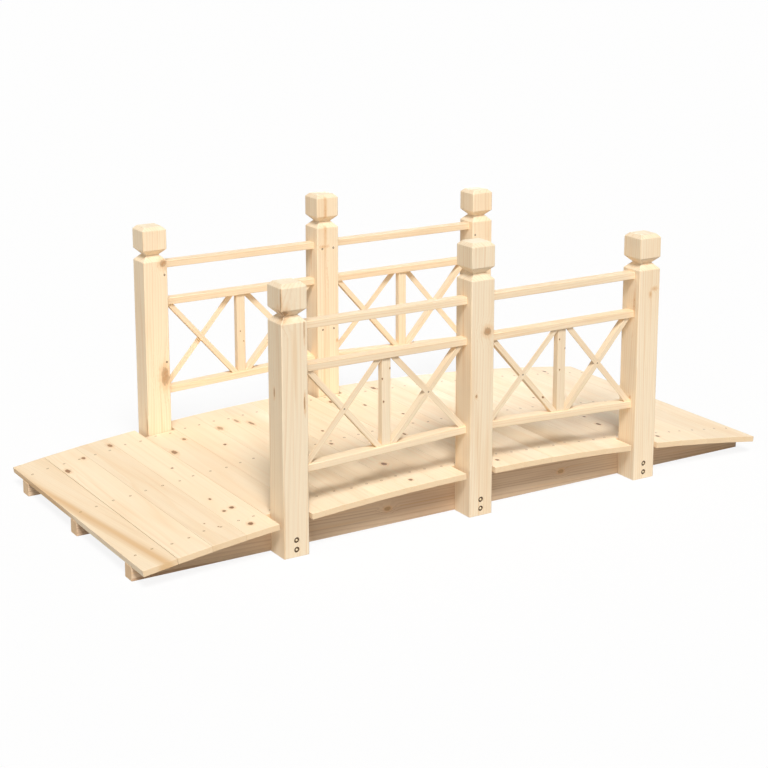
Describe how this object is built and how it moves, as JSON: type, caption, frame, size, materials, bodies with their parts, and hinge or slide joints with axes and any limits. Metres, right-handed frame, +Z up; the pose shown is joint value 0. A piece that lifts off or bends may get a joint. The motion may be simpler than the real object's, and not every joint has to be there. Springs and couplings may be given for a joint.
{
  "type": "wooden garden footbridge",
  "caption": "Small arched garden bridge of pale pine: plank deck on lengthwise beams between two post-and-rail sides with crossed braces and carved post heads.",
  "frame": {"origin": "on the ground, under the middle of the bridge", "axes": "+X along the bridge, +Y across it towards the back railing, +Z up"},
  "size_m": [1.5, 0.677, 0.57],
  "materials": {
    "beam_pine": "sawn, unfinished",
    "deck_pine": "planed, unfinished, knotty",
    "post_pine": "planed, unfinished",
    "rail_pine": "planed, unfinished",
    "infill_pine": "planed, unfinished"
  },
  "bodies": {
    "root": {"baluster_back_left": "infill_pine", "baluster_back_right": "infill_pine", "baluster_front_left": "infill_pine", "baluster_front_right": "infill_pine", "battens_back_left": "infill_pine", "battens_back_right": "infill_pine", "battens_front_left": "infill_pine", "battens_front_right": "infill_pine", "beam_back": "beam_pine", "beam_front": "beam_pine", "beam_middle": "beam_pine", "deck_board_left_posts": "deck_pine", "deck_board_middle_posts": "deck_pine", "deck_board_right_posts": "deck_pine", "deck_boards_left_bay": "deck_pine", "deck_boards_left_end": "deck_pine", "deck_boards_right_bay": "deck_pine", "deck_boards_right_end": "deck_pine", "laths_back_left": "infill_pine", "laths_back_right": "infill_pine", "laths_front_left": "infill_pine", "laths_front_right": "infill_pine", "lower_rail_back_left": "rail_pine", "lower_rail_back_right": "rail_pine", "lower_rail_front_left": "rail_pine", "lower_rail_front_right": "rail_pine", "middle_rail_back_left": "rail_pine", "middle_rail_back_right": "rail_pine", "middle_rail_front_left": "rail_pine", "middle_rail_front_right": "rail_pine", "post_back_left": "post_pine", "post_back_middle": "post_pine", "post_back_right": "post_pine", "post_front_left": "post_pine", "post_front_middle": "post_pine", "post_front_right": "post_pine", "top_rail_back_left": "rail_pine", "top_rail_back_right": "rail_pine", "top_rail_front_left": "rail_pine", "top_rail_front_right": "rail_pine"}
  },
  "joints": []
}
